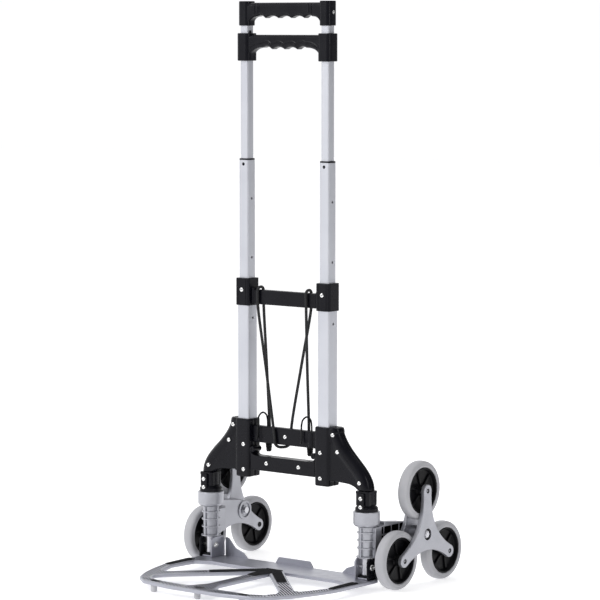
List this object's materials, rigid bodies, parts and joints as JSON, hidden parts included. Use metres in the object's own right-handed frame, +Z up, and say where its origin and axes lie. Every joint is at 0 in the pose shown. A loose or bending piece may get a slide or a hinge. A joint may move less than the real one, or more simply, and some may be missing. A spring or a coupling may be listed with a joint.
{
  "type": "stair climbing trolley",
  "caption": "Folding hand trolley with a telescopic twin-tube handle, a hinged open toe plate and three-wheel turning clusters that climb stairs.",
  "frame": {"origin": "on the ground under the middle of the whole trolley's box", "axes": "+Z up along the posts, -Y towards the toe plate, +X to the trolley's right-hand wheel cluster seen from the front"},
  "size_m": [0.508, 0.5088, 1.09],
  "materials": {
    "silver_tube": "satin silver anodised extrusion",
    "black_plastic": "satin black moulded nylon with a fine grain",
    "black_steel": "black powder coat",
    "grey_plastic": "satin grey moulded plastic, slightly pearly",
    "plate_silver": "silver painted pressed metal",
    "bright_steel": "bright zinc plated steel",
    "black_rubber": "ribbed black rubber inlay",
    "grey_rubber": "soft grey rubber",
    "grey_tyre": "matte grey non-marking tyre",
    "black_hub": "black moulded wheel centre",
    "bungee_cord": "black woven elastic cord",
    "cord_hook": "black coated wire hook with a moulded sleeve"
  },
  "bodies": {
    "frame": {"lower_tube_right": "silver_tube", "lower_tube_left": "silver_tube", "clamp_bridge": "black_plastic", "shoulder_front_right": "black_plastic", "shoulder_rear_right": "black_plastic", "leg_tube_right": "black_steel", "shoulder_front_left": "black_plastic", "shoulder_rear_left": "black_plastic", "leg_tube_left": "black_steel", "upper_bar": "black_plastic", "lower_bar": "black_plastic", "leg_socket_right": "black_plastic", "leg_collar_right": "grey_plastic", "leg_shaft_right": "bright_steel", "leg_socket_left": "black_plastic", "leg_collar_left": "grey_plastic", "leg_shaft_left": "bright_steel", "bungee_cord": "bungee_cord", "cord_hook_right": "cord_hook", "cord_hook_left": "cord_hook"},
    "middle_stage": {"middle_tube_right": "silver_tube", "middle_tube_left": "silver_tube", "guide_bush_right": "black_plastic", "guide_bush_left": "black_plastic"},
    "upper_stage": {"upper_tube_right": "silver_tube", "upper_tube_left": "silver_tube", "upper_handle": "black_plastic", "lower_handle": "black_plastic"},
    "handle_button": {"release_button": "black_plastic"},
    "toe_plate": {"toe_plate": "plate_silver", "rail_pad_right": "black_rubber", "rail_pad_left": "black_rubber", "spoke_pad": "black_rubber", "foot_right": "grey_rubber", "foot_middle": "grey_rubber", "foot_left": "grey_rubber", "hinge_bracket_right": "plate_silver", "hinge_bracket_left": "plate_silver", "hinge_pin_right": "bright_steel", "hinge_pin_left": "bright_steel"},
    "swing_right": {"swing_arm_right": "grey_plastic", "cluster_axle_right": "bright_steel"},
    "cluster_right": {"star_outer_right": "grey_plastic", "star_inner_right": "grey_plastic"},
    "wheel_right_1": {"tyre_right_1": "grey_tyre", "hub_right_1": "black_hub"},
    "wheel_right_2": {"tyre_right_2": "grey_tyre", "hub_right_2": "black_hub"},
    "wheel_right_3": {"tyre_right_3": "grey_tyre", "hub_right_3": "black_hub"},
    "swing_left": {"swing_arm_left": "grey_plastic", "cluster_axle_left": "bright_steel"},
    "cluster_left": {"star_outer_left": "grey_plastic", "star_inner_left": "grey_plastic"},
    "wheel_left_1": {"tyre_left_1": "grey_tyre", "hub_left_1": "black_hub"},
    "wheel_left_2": {"tyre_left_2": "grey_tyre", "hub_left_2": "black_hub"},
    "wheel_left_3": {"tyre_left_3": "grey_tyre", "hub_left_3": "black_hub"}
  },
  "joints": [
    {"name": "middle_stage_slide", "type": "slide", "parent": "frame", "child": "middle_stage", "axis": [0, 0, 1], "range_m": [-0.212, 0]},
    {"name": "upper_stage_slide", "type": "slide", "parent": "middle_stage", "child": "upper_stage", "axis": [0, 0, 1], "range_m": [-0.18, 0]},
    {"name": "release_button_press", "type": "slide", "parent": "upper_stage", "child": "handle_button", "axis": [0, 0, 1], "range_m": [-0.003, 0], "stiffness_N_per_m": 400, "springref_m": 0.001},
    {"name": "toe_plate_fold", "type": "hinge", "parent": "frame", "child": "toe_plate", "pos_m": [0, 0.01909, 0.0435], "axis": [-1, 0, 0], "range_deg": [0, 90]},
    {"name": "swing_right_fold", "type": "hinge", "parent": "frame", "child": "swing_right", "pos_m": [0.1895, 0.02359, 0.09], "axis": [0, 0, 1], "range_deg": [0, 55]},
    {"name": "cluster_right_turn", "type": "hinge", "parent": "swing_right", "child": "cluster_right", "pos_m": [0.233, 0.12799, 0.0964], "axis": [1, 0, 0], "continuous": true},
    {"name": "wheel_right_1_spin", "type": "hinge", "parent": "cluster_right", "child": "wheel_right_1", "pos_m": [0.233, 0.12799, 0.1784], "axis": [1, 0, 0], "continuous": true},
    {"name": "wheel_right_2_spin", "type": "hinge", "parent": "cluster_right", "child": "wheel_right_2", "pos_m": [0.233, 0.05698, 0.0554], "axis": [1, 0, 0], "continuous": true},
    {"name": "wheel_right_3_spin", "type": "hinge", "parent": "cluster_right", "child": "wheel_right_3", "pos_m": [0.233, 0.19901, 0.0554], "axis": [1, 0, 0], "continuous": true},
    {"name": "swing_left_fold", "type": "hinge", "parent": "frame", "child": "swing_left", "pos_m": [-0.1895, 0.02359, 0.09], "axis": [0, 0, -1], "range_deg": [0, 55]},
    {"name": "cluster_left_turn", "type": "hinge", "parent": "swing_left", "child": "cluster_left", "pos_m": [-0.233, 0.12799, 0.0964], "axis": [1, 0, 0], "continuous": true},
    {"name": "wheel_left_1_spin", "type": "hinge", "parent": "cluster_left", "child": "wheel_left_1", "pos_m": [-0.233, 0.12799, 0.1784], "axis": [1, 0, 0], "continuous": true},
    {"name": "wheel_left_2_spin", "type": "hinge", "parent": "cluster_left", "child": "wheel_left_2", "pos_m": [-0.233, 0.05698, 0.0554], "axis": [1, 0, 0], "continuous": true},
    {"name": "wheel_left_3_spin", "type": "hinge", "parent": "cluster_left", "child": "wheel_left_3", "pos_m": [-0.233, 0.19901, 0.0554], "axis": [1, 0, 0], "continuous": true}
  ],
  "couplings": [
    {"joint": "swing_right_fold", "follows": "toe_plate_fold", "ratio": 0.6111},
    {"joint": "swing_left_fold", "follows": "toe_plate_fold", "ratio": 0.6111}
  ]
}
